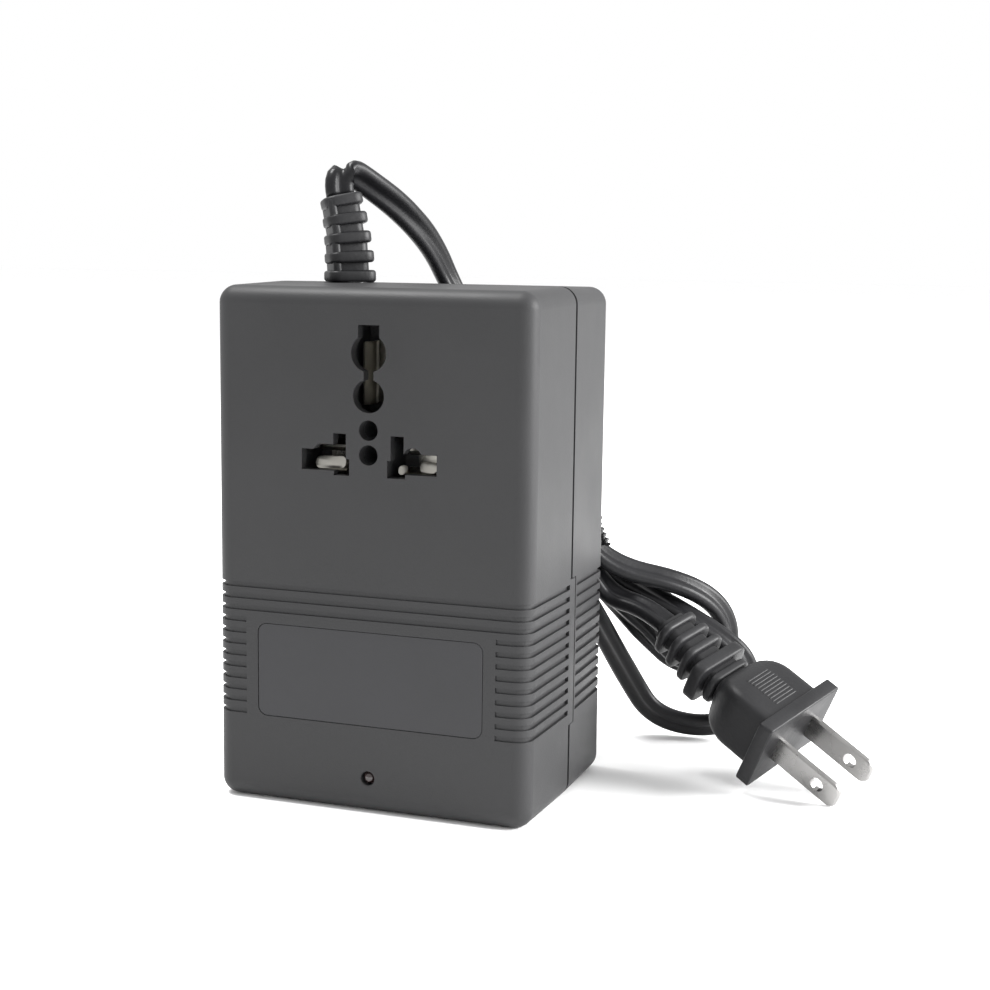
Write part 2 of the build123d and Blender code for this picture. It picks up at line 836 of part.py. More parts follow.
def output_lead(side):
    """The lead from a contact's tag, under the carrier, to its lug."""
    x, z = blade_contact_place(side)
    tag_end = -contact_floor() + tag_length
    lug_x = lug_places()[1 if side < 0 else -2]
    return lead([(lug_x, tag_end, z), (lug_x, -lead_back, z), (lug_x, -lead_back, lead_level),
                 (lug_x, -lug_distance, lead_level), (lug_x, -lug_distance, lug_top())])


def boot_bottom():
    """The level of the boot's flange inside the case, below the drafted top wall."""
    fall = boot_flange[1] / 2 * math.tan(math.radians(case_draft))
    return case_height - side_wall - fall - boot_clearance - boot_flange_thickness


def supply_lead(side):
    """The lead from a conductor in the boot, behind the carrier, to its lug in the middle."""
    x = boot_x + side * cord_thickness / 2
    lug_x = lug_places()[2 if side < 0 else 3]
    start = boot_bottom() - supply_start
    return lead([(x, 0, boot_bottom()), (x, 0, start), (x, supply_depth, supply_turn),
                 (lug_x, supply_depth, supply_drop),
                 (lug_x, supply_depth, supply_level), (lug_x, -lug_distance, supply_level),
                 (lug_x, -lug_distance, lug_top())])


def lamp_lead(side):
    """The lead from the lamp's board, beside the coil, to the outer lug."""
    x = side * lamp_lead_start
    out = side * (bobbin_half()[0] + lamp_lead_clearance)
    start = -board_distance()
    lug_x = lug_places()[0 if side < 0 else -1]
    level = lamp_height - board_height / 2 + lead_wire
    return lead([(x, start, level), (x, -lug_distance, level), (out, -lug_distance, level),
                 (out, -lug_distance, lamp_lead_level), (lug_x, -lug_distance, lamp_lead_level),
                 (lug_x, -lug_distance, lug_top())])


def boot_plane(height):
    """The plane across the boot at a height along its bent middle line."""
    angle = math.radians(boot_lean) * height / boot_height
    radius = boot_height / math.radians(boot_lean)
    start = case_height + boot_clearance
    place = (boot_x - radius * (1 - math.cos(angle)), 0, start + radius * math.sin(angle))
    return Plane(origin=place, x_dir=(math.cos(angle), 0, math.sin(angle)),
                 z_dir=(-math.sin(angle), 0, math.cos(angle)))


def boot_rib_size(share):
    """The width and depth of a rib, that share of the way up."""
    return boot_rib[0] - share * boot_rib_taper, boot_rib[1] - share * boot_rib_taper


def boot_end():
    """The face at the top of the boot, where the cord leaves it."""
    return boot_plane(boot_height - boot_rib_thickness).offset(boot_rib_thickness)


def cord_boot():
    """The ribbed boot that is moulded on the cord, with a neck and a flange held by the two shells."""
    bottom = boot_bottom()
    body = extrude(Pos(boot_x, 0, bottom) * RectangleRounded(*boot_flange, boot_corner),
                   amount=boot_flange_thickness)
    body += extrude(Pos(boot_x, 0, bottom) * RectangleRounded(*boot_neck, boot_corner),
                    amount=case_height + boot_clearance - bottom)
    step = (boot_height - boot_rib_thickness) / (boot_rib_count - 1)
    for index in range(boot_rib_count):
        size = boot_rib_size(index / (boot_rib_count - 1))
        rib = extrude(boot_plane(index * step) * RectangleRounded(*size, boot_corner), amount=boot_rib_thickness)
        body += chamfer(rib.edges(), boot_rib_thickness / 6)
        if index:
            core = boot_plane((index - 1) * step) * RectangleRounded(*boot_core, boot_corner)
            body += extrude(core, amount=step + boot_rib_thickness / 2)
    return body


def plug_plane(setback):
    """The plane across the plug, that far behind its face."""
    face = Plane(origin=plug_face_at, x_dir=plug_across, z_dir=plug_axis)
    return face.offset(-setback)


def plug_block(size, corner, start, length):
    """A rounded block of the plug, from start to start plus length behind the face."""
    return extrude(plug_plane(start) * RectangleRounded(*size, corner), amount=-length)


def collar_start():
    """How far behind the plug's face its collar begins."""
    return flange_thickness + grip_length + neck_gap + neck_ring_thickness + collar_gap


def plug_length():
    """How far the plug's moulding reaches behind its face."""
    return collar_start() + collar_thickness + relief_count * relief_pitch + relief_end


def grip_form():
    """The hand grip, with broad rounded shoulders at the back."""
    sections = []
    for along, wide, high in grip_profile_shares:
        size = (wide * grip_size[0], high * grip_size[1])
        sections.append(plug_plane(flange_thickness + along * grip_length)
                        * RectangleRounded(*size, high * grip_corner))
    return loft(sections, ruled=True)


def grip_ribbing():
    """The fine ridges across the broad faces of the grip."""
    bars = []
    for index in range(grip_ridges):
        setback = flange_thickness + ridge_start + index * ridge_pitch
        share = (setback - flange_thickness) / grip_length
        low = grip_profile_shares[1]
        high = grip_size[1] * (1 - (1 - low[2]) * share / low[0]) + 2 * ridge_height
        bars.append(extrude(plug_plane(setback) * Rectangle(ridge_length, high), amount=-ridge_pitch / 2))
    return bars


def relief_plane(setback):
    """The plane across the relief, which lifts a little towards its end."""
    start = collar_start() + collar_thickness
    share = (setback - start) / (plug_length() - start)
    plane = plug_plane(setback)
    plane.origin = plane.origin + plane.y_dir * (share * relief_rise)
    return plane


def blade_outline():
    """A blade in its own plane, from inside the grip to its tip, with cut corners and a round hole."""
    plan = Pos((blade_length - blade_root) / 2, 0) * Rectangle(blade_length + blade_root, blade_width)
    plan = chamfer(plan.vertices().sort_by(Axis.X)[-2:], blade_tip)
    return plan - Pos(blade_hole_at, 0) * Circle(blade_hole / 2)


def blade(side):
    """One flat blade, with its edges broken towards the tip."""
    face = plug_plane(0)
    start = face.origin + face.x_dir * (side * blade_spacing / 2 - blade_thickness / 2)
    plane = Plane(origin=start, x_dir=face.z_dir, z_dir=face.x_dir)
    return extrude(plane * blade_outline(), amount=blade_thickness)


def plug_blades():
    """The two blades."""
    return [blade(-1), blade(1)]


def plug_relief():
    """The ribs of the relief behind the collar, on a core that lifts a little."""
    start = collar_start() + collar_thickness
    ends = [relief_plane(at) * RectangleRounded(*relief_core, collar_corner) for at in (start, plug_length())]
    pieces = [loft(ends, ruled=True)]
    for index in range(relief_count):
        at = start + (index + 1) * relief_pitch - relief_rib_thickness
        size = grown(relief_first, -index * relief_taper)
        rib = relief_plane(at) * RectangleRounded(*size, collar_corner)
        pieces.append(extrude(rib, amount=-relief_rib_thickness))
    return pieces


def plug_body():
    """The moulded plug: its flange, the grip, the neck, the collar and the relief, over the blade roots."""
    body = plug_block(flange_size, flange_corner, 0, flange_thickness) + grip_form()
    body += grip_ribbing()
    ring_start = flange_thickness + grip_length + neck_gap
    neck_start = flange_thickness + grip_length / 2
    body += plug_block(neck_size, collar_corner, neck_start, collar_start() + collar_thickness / 2 - neck_start)
    body += plug_block(neck_ring, collar_corner, ring_start, neck_ring_thickness)
    body += plug_block(collar_size, collar_corner, collar_start(), collar_thickness)
    body += plug_relief()
    for side in (-1, 1):
        body -= blade(side)
    return body


def bend_radii(points):
    """The radius at each corner of a route: a share of its shorter run over the tangent of half its turn."""
    radii = []
    for before, at, after in zip(points, points[1:], points[2:]):
        first, second = at - before, after - at
        half_turn = math.radians(first.get_angle(second)) / 2
        radii.append(bend_share * min(first.length, second.length) / math.tan(half_turn))
    return radii


def cord_path(points):
    """A route of straight runs joined by tangent arcs."""
    return FilletPolyline(*points, radius=bend_radii(points))


def cord_section():
    """The flat cord's section: two round conductors' sheaths side by side, with a web between them."""
    radius = cord_thickness / 2
    centre = (cord_width - cord_thickness) / 2
    shape = Rectangle(2 * centre, cord_web)
    for side in (-1, 1):
        shape += Pos(side * centre, 0) * RegularPolygon(radius, conductor_sides)
    return shape


def cord_tube(points, across):
    """The flat cord along a route; across is the way its width lies at the start."""
    path = cord_path(points)
    plane = Plane(origin=path @ 0, x_dir=across, z_dir=path % 0)
    tube = sweep(plane * cord_section(), path=path)
    told = [round(radius, 1) for radius in bend_radii(points)]
    print("radii", told, "length", round(path.length), "lowest", round(tube.bounding_box().min.Z, 1))
    print("volume", round(tube.volume), "section times length", round(cord_section().area * path.length))
    return tube


def carried(across, path, count):
    """Points on both conductors along a path, with the width carried along without twist."""
    lines = ([], [])
    tangent = path % 0
    across = (across - tangent * across.dot(tangent)).normalized()
    half = (cord_width - cord_thickness) / 2
    for index in range(count + 1):
        share = index / count
        tangent = path % share
        across = (across - tangent * across.dot(tangent)).normalized()
        for side, line in zip((-1, 1), lines):
            line.append(tuple(path @ share + across * (side * half)))
    return lines


def least_gap(points, across):
    """The least gap of the coiled cord to itself, measured on points of both conductors."""
    path = cord_path(points)
    count = int(path.length / (cord_thickness / 4))
    lines = carried(across, path, count)
    apart = int(count * 3 * cord_width / path.length)
    least = path.length
    for first in lines:
        for second in lines:
            for index, place in enumerate(first):
                for other in second[index + apart:]:
                    least = min(least, math.dist(place, other))
    return least - cord_thickness


def hank_frame():
    """The directions along the hank, across its strands and away from the case."""
    along = Vector(*hank_way).normalized()
    away = Vector(0, 1, 0)
    away = (away - along * away.dot(along)).normalized()
    return along, along.cross(away), away


def hank_point(along, across, layer):
    """A place in the hank; layer 0 is the front layer and each further one lies layer_pitch behind."""
    ways = hank_frame()
    depth = (layer - 1 / 2) * layer_pitch
    return Vector(*tie_at) + ways[0] * along + ways[1] * across + ways[2] * depth


def waist(slot, layer, way):
    """The two ends of a strand's straight run through the waist; way is 1 down to the plug's side."""
    ends = [hank_point(end, slot * strand_pitch, layer) for end in (-waist_above, waist_below)]
    return ends[::way]


def lobe(size, layer, side):
    """The five corners of a loop below (side 1) or above (side -1) the waist."""
    reach, half_width, fan = size
    fan = math.radians(fan)
    corners = []
    for along_share, across_share in lobe_shares:
        along, across = reach * along_share, side * half_width * across_share
        turned = along * math.cos(fan) - across * math.sin(fan)
        lean = hank_lean_share * (turned - waist_above) / layer_pitch if side < 0 else 0
        corners.append(hank_point(side * turned, along * math.sin(fan) + across * math.cos(fan), layer + lean))
    return corners


def hank_points():
    """The route through the hank: two full turns, each down, up and back to the waist."""
    return [*waist(1, 0, 1), *lobe(front_lobe, front_lobe_layer_share, 1), *waist(-1 / 2, 1, -1),
            *lobe(upper_back_lobe, 1, -1), *waist(1 / 2, 1, 1), *lobe(back_lobe, back_lobe_layer_share, 1),
            *waist(-1, 0, -1), *lobe(upper_front_lobe, 0, -1), *waist(0, 0, 1)]


def lead_route():
    """The route from the top of the boot to the hank."""
    exit_plane = boot_end()
    start = exit_plane.origin
    end = hank_points()[0]
    middle = [Vector(*point) for point in lead_points]
    return [start, start + exit_plane.z_dir * lead_rise, *middle, end - hank_frame()[0] * lead_end, end]


def tail_route():
    """The route from the hank to the end of the plug's relief."""
    start = hank_points()[-1]
    plane = relief_plane(plug_length())
    return [start, start + hank_frame()[0] * tail_start, plane.origin - plane.z_dir * tail_end, plane.origin]


def cord_lead():
    """The free stretch between the boot and the hank, lying as the hank's first strand does."""
    return cord_tube(lead_route()[::-1], hank_frame()[2])


def cord_hank():
    """The tied hank, one unbroken tube."""
    points = hank_points()
    print("hank's least gap to itself", round(least_gap(points, hank_frame()[2]), 2))
    return cord_tube(points, hank_frame()[2])


def cord_tail():
    """The short stretch from the hank to the plug."""
    return cord_tube(tail_route(), hank_frame()[2])


def hank_tie():
    """The wire tie round the waist of the hank, with its two ends twisted together."""
    ways = hank_frame()
    plane = Plane(origin=hank_point(-tie_setback - tie_width / 2, 0, 1 / 2), x_dir=ways[1], z_dir=ways[0])
    inner = (2 * strand_pitch + cord_thickness + 2 * tie_clearance,
             layer_pitch + cord_width + 2 * tie_clearance)
    corner = cord_thickness / 2 + tie_clearance
    ring = RectangleRounded(*grown(inner, 2 * tie_thickness), corner + tie_thickness)
    band = extrude(plane * (ring - RectangleRounded(*inner, corner)), amount=tie_width)
    side = plane.offset(tie_width / 2)
    start = side.origin - side.y_dir * (inner[1] / 2 + tie_thickness / 2)
    twist = extrude(Plane(origin=start, z_dir=side.x_dir - side.y_dir) * Circle(tie_twist / 2),
                    amount=tie_twist_length)
    return band + twist


def makers():
    """Every node with the function that makes it."""
    return {
        "front_shell": front_shell, "rear_shell": rear_shell, "rating_plate": rating_plate,
        "contact_carrier": contact_carrier, "live_contact": lambda: socket_contact(-1),
        "neutral_contact": lambda: socket_contact(1), "earth_contact": earth_contact,
        "carrier_screws": carrier_screws, "case_screws": case_screws,
        "indicator_lamp": indicator_lamp, "lamp_board": lamp_board, "lamp_resistor": lamp_resistor,
        "core_e_stack": core_e_stack, "core_i_stack": core_i_stack, "core_screws": core_screws,
        "core_washers": core_washers, "coil_bobbin": coil_bobbin, "coil_winding": coil_winding,
        "winding_tape": winding_tape, "thermal_fuse": thermal_fuse, "coil_lugs": coil_lugs,
        "output_live_lead": lambda: output_lead(-1), "output_neutral_lead": lambda: output_lead(1),
        "supply_live_lead": lambda: supply_lead(-1), "supply_neutral_lead": lambda: supply_lead(1),
        "lamp_lead_left": lambda: lamp_lead(-1), "lamp_lead_right": lambda: lamp_lead(1),
        "cord_boot": cord_boot, "plug_body": plug_body, "plug_blades": plug_blades,
        "cord_lead": cord_lead, "cord_hank": cord_hank, "cord_tail": cord_tail, "hank_tie": hank_tie,
    }


if __name__ == "__main__":
    os.makedirs("parts", exist_ok=True)
    for node, maker in makers().items():
        made = maker()
        solids = made if isinstance(made, list) else [made]
        shape = Compound(children=[solid for item in solids for solid in item.solids()])
        print(node, shape.is_valid, len(shape.solids()), round(shape.volume))
        export_step(shape, f"parts/{node}.step")
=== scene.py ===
"""Travel voltage converter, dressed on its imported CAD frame. Metres; X right, Y away, Z up."""

import json
import math

import bpy
import numpy as np
from mathutils import Matrix, Vector

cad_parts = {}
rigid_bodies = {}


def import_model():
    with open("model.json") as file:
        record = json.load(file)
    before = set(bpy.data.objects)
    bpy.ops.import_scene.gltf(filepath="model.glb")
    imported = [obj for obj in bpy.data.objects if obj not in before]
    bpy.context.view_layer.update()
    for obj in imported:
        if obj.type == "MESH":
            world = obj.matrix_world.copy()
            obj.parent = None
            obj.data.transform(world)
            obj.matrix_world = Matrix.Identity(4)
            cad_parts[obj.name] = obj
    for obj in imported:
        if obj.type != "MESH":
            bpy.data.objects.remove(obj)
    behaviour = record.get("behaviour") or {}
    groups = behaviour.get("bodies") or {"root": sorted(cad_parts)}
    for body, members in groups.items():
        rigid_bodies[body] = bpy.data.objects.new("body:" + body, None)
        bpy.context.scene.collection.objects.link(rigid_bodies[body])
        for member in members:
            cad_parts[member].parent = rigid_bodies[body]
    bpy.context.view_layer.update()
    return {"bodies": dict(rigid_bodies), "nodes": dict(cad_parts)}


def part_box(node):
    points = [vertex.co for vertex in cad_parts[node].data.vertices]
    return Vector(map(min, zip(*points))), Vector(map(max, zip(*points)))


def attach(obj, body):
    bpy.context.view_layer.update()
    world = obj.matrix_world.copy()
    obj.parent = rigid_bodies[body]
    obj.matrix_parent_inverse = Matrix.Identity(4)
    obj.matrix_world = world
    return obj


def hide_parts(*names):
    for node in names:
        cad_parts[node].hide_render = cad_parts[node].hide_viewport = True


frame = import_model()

body = next(iter(frame["bodies"]))
node = frame["nodes"]
mm = 0.001

# Camera
# Stands a little right of the case and just above its top, turned left and tipped down, with a short
# telephoto lens, as the photograph was taken.
camera_place = (0.14690, -0.35396, 0.11886)
camera_turn = math.radians(19.97)
camera_tip = math.radians(8.05)
camera_roll = math.radians(0.74)
camera_lens = 64.08

camera = bpy.data.objects.new("camera", bpy.data.cameras.new("camera"))
bpy.context.scene.collection.objects.link(camera)
camera.data.lens = camera_lens
camera.data.sensor_width = 36
camera.matrix_world = (Matrix.Translation(camera_place) @ Matrix.Rotation(camera_turn, 4, "Z")
                       @ Matrix.Rotation(math.pi / 2 - camera_tip, 4, "X")
                       @ Matrix.Rotation(camera_roll, 4, "Z"))
bpy.context.scene.camera = camera

# Flat twin cord
# One unbroken length of flat two-conductor cord: soft black PVC over two stranded cores side by side.
# It leaves the boot, arches over the back of the case, is folded into a tied hank of two turns and
# ends in the plug's relief.
cord_radius = 1.6 * mm
cord_web = 1.1 * mm
cord_step = 1.0 * mm
sheath_sides = 11
line_fineness = 24
cord_black = (0.008, 0.008, 0.009)
patch_range = (0.3, 0.7)
patch_detail = 4
grain_detail = 2
least_rough = 0.02
coat_rough = 0.2

# Control points from the boot to the plug, in millimetres. In the lead and the tail each has the way that
# the cord's width lies there, and in the hank a roll from the way called away, in degrees.
lead_stretch = [
    ((-18.4, 0.0, 129.2), (0.77, 0.64, 0.2)), ((-19.2, 0.0, 132.6), (0.77, 0.64, 0.2)),
    ((-17.6, 2.4, 134.9), (0.8, 0.5, 0.4)), ((-14.9, 7.8, 132.0), (0.75, 0.3, 0.55)),
    ((-10.8, 17.0, 126.6), (0.6, 0.4, 0.7)), ((-7.6, 27.0, 119.0), (0.35, 0.8, 0.5)),
    ((-5.7, 34.5, 108.9), (0.2, 0.95, 0.25)), ((3.9, 36.6, 92.0), (0.1, 0.98, 0.1)),
    ((17.6, 32.6, 67.6), (0, 1, 0.1)),
]
away = Vector((-0.0941, 0.9887, 0.1168))
hank_turns = [
    ((25.9, 34.8, 55.1), 10), ((33.4, 36.7, 45.0), 25), ((51.0, 46.8, 40.2), 28), ((58.2, 54.6, 32.2), 28),
    ((58.7, 54.9, 20.3), 30), ((47.0, 53.8, 17.8), 40), ((39.4, 48.6, 27.2), 60), ((26.1, 43.8, 41.0), 16),
    ((18.4, 41.8, 50.5), 0), ((8.4, 42.6, 64.3), 12), ((3.0, 43.1, 75.0), 20), ((6.2, 43.4, 87.0), 20),
    ((17.6, 43.0, 82.5), 20), ((21.6, 42.4, 71.2), 10), ((21.9, 41.8, 53.4), 3), ((29.6, 43.0, 43.6), 14),
    ((57.2, 45.6, 29.9), 24), ((66.4, 48.6, 20.8), 40), ((59.3, 57.2, 3.4), 60), ((40.9, 55.3, 4.0), 70),
    ((34.2, 51.4, 16.2), 76), ((27.5, 34.6, 39.3), 66), ((19.2, 32.6, 49.8), 30), ((-0.2, 35.7, 57.7), 10),
    ((-12.1, 36.3, 65.7), 15), ((-15.6, 36.9, 79.6), 15), ((-1.3, 36.6, 80.5), 10), ((8.9, 35.9, 70.8), 5),
    ((22.8, 34.8, 52.8), 3), ((30.4, 36.6, 42.7), 14),
]
plug_across = Vector((0.4094, 0.8848, 0.2226))
tail_stretch = [((34.3, 37.6, 37.6), (0.45, 0.85, 0.3)), ((43.0, 36.3, 36.0), tuple(plug_across)),
                ((48.8, 34.4, 32.6), tuple(plug_across))]


def cord_line(name, points):
    """The smooth line through the cord's middle: a NURBS curve over the route's control points."""
    curve = bpy.data.curves.new(name, "CURVE")
    curve.dimensions = "3D"
    curve.resolution_u = line_fineness
    spline = curve.splines.new("NURBS")
    spline.points.add(len(points) - 1)
    for point, place in zip(spline.points, points):
        point.co = (*(value * mm for value in place), 1)
    spline.order_u = 3
    spline.use_endpoint_u = True
    holder = bpy.data.objects.new(name, curve)
    line = bpy.data.meshes.new_from_object(holder)
    places = np.array([vertex.co[:] for vertex in line.vertices])
    bpy.data.objects.remove(holder)
    bpy.data.meshes.remove(line)
    return places


def even_steps(places, step):
    """Places about a step apart along a line, and how far along the spline's spans each of them is."""
    lengths = np.concatenate([[0], np.cumsum(np.linalg.norm(np.diff(places, axis=0), axis=1))])
    along = np.linspace(0, lengths[-1], int(lengths[-1] / step) + 1)
    spread = np.stack([np.interp(along, lengths, places[:, axis]) for axis in range(3)], axis=1)
    return spread, np.interp(along, lengths, np.linspace(0, 1, len(places))), lengths[-1]


def unit(rows):
    """Rows of vectors, each brought to length one."""
    return rows / np.linalg.norm(rows, axis=1, keepdims=True)


def sheath_outline():
    """The cord's section: two round sheaths side by side, with a narrow groove on each broad face."""
    notch = math.asin(cord_web / cord_radius)
    ends = math.pi - notch
    right = [(cord_radius + cord_radius * math.cos(turn), cord_radius * math.sin(turn))
             for turn in np.linspace(-ends, ends, sheath_sides)]
    return right + [(-x, -y) for x, y in right]


def mesh_piece(name, vertices, faces, smooth=True):
    """A new mesh object from vertices and faces."""
    mesh = bpy.data.meshes.new(name)
    mesh.from_pydata([tuple(vertex) for vertex in vertices], [], faces)
    mesh.validate()
    if smooth:
        mesh.shade_smooth()
    else:
        mesh.shade_flat()
    piece = bpy.data.objects.new(name, mesh)
    bpy.context.scene.collection.objects.link(piece)
    return piece


def tube_faces(rings, sides):
    """Faces of a closed tube of rings, with both ends capped."""
    faces = []
    for ring in range(rings - 1):
        for side in range(sides):
            after = (side + 1) % sides
            low, high = ring * sides, (ring + 1) * sides
            faces.append((low + side, low + after, high + after, high + side))
    faces.append(tuple(reversed(range(sides))))
    faces.append(tuple(range((rings - 1) * sides, rings * sides)))
    return faces


def moulded(name, colour, rough, grain=2200, depth=0.02, blotch=40, shift=0.18, spread=0.08, metal=0.0,
            coat=0.0, gleam=0.5):
    """A finish with soft tone changes, a fine surface grain, and gloss that wanders a little."""
    material = bpy.data.materials.new(name)
    material.use_nodes = True
    nodes, links = material.node_tree.nodes, material.node_tree.links
    shader = nodes["Principled BSDF"]
    shader.inputs["Metallic"].default_value = metal
    shader.inputs["Specular IOR Level"].default_value = gleam
    shader.inputs["Coat Weight"].default_value = coat
    shader.inputs["Coat Roughness"].default_value = coat_rough
    place = nodes.new("ShaderNodeTexCoord")
    patches = nodes.new("ShaderNodeTexNoise")
    patches.inputs["Scale"].default_value = blotch
    patches.inputs["Detail"].default_value = patch_detail
    links.new(place.outputs["Object"], patches.inputs["Vector"])
    tones = nodes.new("ShaderNodeValToRGB")
    for element, position, change in zip(tones.color_ramp.elements, patch_range, (1 - shift, 1 + shift)):
        element.position = position
        element.color = (*(min(1, value * change) for value in colour), 1)
    links.new(patches.outputs["Fac"], tones.inputs["Fac"])
    links.new(tones.outputs["Color"], shader.inputs["Base Color"])
    fine = nodes.new("ShaderNodeTexNoise")
    fine.inputs["Scale"].default_value = grain
    fine.inputs["Detail"].default_value = grain_detail
    links.new(place.outputs["Object"], fine.inputs["Vector"])
    gloss = nodes.new("ShaderNodeMapRange")
    gloss.inputs["From Min"].default_value = patch_range[0]
    gloss.inputs["From Max"].default_value = patch_range[1]
    gloss.inputs["To Min"].default_value = max(least_rough, rough - spread)
    gloss.inputs["To Max"].default_value = min(1, rough + spread)
    links.new(patches.outputs["Fac"], gloss.inputs["Value"])
    links.new(gloss.outputs["Result"], shader.inputs["Roughness"])
    bump = nodes.new("ShaderNodeBump")
    bump.inputs["Strength"].default_value = 1
    bump.inputs["Distance"].default_value = depth * mm
    links.new(fine.outputs["Fac"], bump.inputs["Height"])
    links.new(bump.outputs["Normal"], shader.inputs["Normal"])
    return material


route = [point for point, lie in lead_stretch]
route += [point for point, turn in hank_turns]
route += [point for point, lie in tail_stretch]
line, shares, cord_length = even_steps(cord_line("cord_route", route), cord_step)
ahead = unit(np.gradient(line, axis=0))
reach = np.array([0] + [index - 0.5 for index in range(1, len(route) - 1)] + [len(route) - 2])
turns_at = reach / reach[-1]
lies = [Vector(lie).normalized() for point, lie in lead_stretch]
lies += [away] * len(hank_turns) + [Vector(lie).normalized() for point, lie in tail_stretch]
lie_rows = np.stack([np.interp(shares, turns_at, [lie[axis] for lie in lies]) for axis in range(3)],
                    axis=1)
roll_list = [0] * len(lead_stretch) + [turn for point, turn in hank_turns] + [0] * len(tail_stretch)
roll = np.radians(np.interp(shares, turns_at, roll_list))[:, None]
across = unit(lie_rows - ahead * np.sum(lie_rows * ahead, axis=1, keepdims=True))
flat = np.cross(ahead, across)
across, flat = across * np.cos(roll) + flat * np.sin(roll), flat * np.cos(roll) - across * np.sin(roll)
section = sheath_outline()
rings = [place + wide * x + high * y
         for place, wide, high in zip(line, across, flat) for x, y in section]
cord = mesh_piece("flat_cord", rings, tube_faces(len(line), len(section)))
cord_pvc = moulded("cord_black_pvc", cord_black, 0.38, grain=1500, depth=0.03, blotch=120, gleam=0.2)
cord.data.materials.append(cord_pvc)
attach(cord, body)
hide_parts("cord_lead", "cord_hank", "cord_tail")

# Hank tie
# A flat PVC-covered wire tie, wound once round the waist of the hank, with its ends twisted together
# into a short stub that shows just past the edge of the case.
tie_at = Vector((24.9, 38.7, 51.7)) * mm
tie_along = Vector((0.6201, 0.15, -0.7701)).normalized()
tie_across = Vector((0.7789, 0.0, 0.6272))
tie_away = tie_along.cross(tie_across)
tie_band = 2.6 * mm
tie_thickness = 0.7 * mm
tie_margin = 0.25 * mm
stub_end = Vector((32.9, 37.0, 50.1)) * mm
stub_radius = 0.75 * mm
stub_turns = 2.5
stub_sides = 8
stub_steps = 30
strand_offset = 0.6
strand_radius = 0.7
tie_sharp = math.radians(50)


def soft_rectangle(width, height, corner, steps=5):
    """The outline of a rectangle with round corners, clockwise."""
    spots = []
    for quarter, (side, level) in enumerate(((1, 1), (-1, 1), (-1, -1), (1, -1))):
        for turn in np.linspace(0, math.pi / 2, steps):
            angle = quarter * math.pi / 2 + turn
            spots.append((side * (width / 2 - corner) + corner * math.cos(angle),
                          level * (height / 2 - corner) + corner * math.sin(angle)))
    return spots[::-1]


def ring_faces(count, sides):
    """Faces of a closed ring of sections that are joined last to first."""
    faces = []
    for step in range(count):
        low, high = step * sides, (step + 1) % count * sides
        faces += [(low + (side + 1) % sides, high + (side + 1) % sides, high + side, low + side)
                  for side in range(sides)]
    return faces


def joined(forms):
    """The places and faces of several separate skins, in one list each."""
    spots, faces = [], []
    for more, skin in forms:
        faces += [tuple(len(spots) + index for index in face) for face in skin]
        spots += more
    return spots, faces


def tie_loop():
    """The band as a closed loop of square sections round the strands that cross its plane."""
    near = [Vector(place) - tie_at for place in rings]
    near = [spot for spot in near if abs(spot.dot(tie_along)) < tie_band / 2]
    reaches = [[spot.dot(way) for spot in near] for way in (tie_across, tie_away)]
    middle = [(max(reach) + min(reach)) / 2 for reach in reaches]
    inner = [max(reach) - min(reach) + 2 * tie_margin for reach in reaches]
    corner = cord_radius + tie_margin
    loops = [soft_rectangle(inner[0] + 2 * grow, inner[1] + 2 * grow, corner + grow)
             for grow in (0, tie_thickness * 0.25, tie_thickness, tie_thickness, tie_thickness * 0.25, 0)]
    depths = [tie_band * share for share in (-0.42, -0.5, -0.4, 0.4, 0.5, 0.42)]
    spots = [tie_at + tie_across * (middle[0] + loop[step][0]) + tie_away * (middle[1] + loop[step][1])
             + tie_along * depth for step in range(len(loops[0])) for loop, depth in zip(loops, depths)]
    top = tie_at + tie_across * (middle[0] + inner[0] / 2) + tie_away * (middle[1] - inner[1] / 4)
    return spots, ring_faces(len(loops[0]), len(loops)), top


def tie_strand(start, end, phase):
    """One of the tie's two twisted ends, as a fine round strand that winds about the stub's middle."""
    way = (end - start).normalized()
    side = way.orthogonal().normalized()
    up = way.cross(side)
    spots = []
    for step in range(stub_steps + 1):
        share = step / stub_steps
        turn = phase + share * stub_turns * 2 * math.pi
        outward = side * math.cos(turn) + up * math.sin(turn)
        centre = start.lerp(end, share) + outward * stub_radius * strand_offset
        for corner in range(stub_sides):
            angle = corner / stub_sides * 2 * math.pi
            rim = side * math.cos(angle) + up * math.sin(angle)
            spots.append(centre + rim * stub_radius * strand_radius)
    return spots, tube_faces(stub_steps + 1, stub_sides)


band_spots, band_faces, stub_start = tie_loop()
tie_forms = [(band_spots, band_faces)]
tie_forms += [tie_strand(stub_start, stub_end, phase) for phase in (0, math.pi)]
tie = mesh_piece("hank_wire_tie", *joined(tie_forms))
tie.data.set_sharp_from_angle(angle=tie_sharp)
tie.data.materials.append(moulded("tie_pvc", (0.012, 0.012, 0.013), 0.45, grain=1800, depth=0.03, gleam=0.35))
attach(tie, body)
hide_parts("hank_tie")

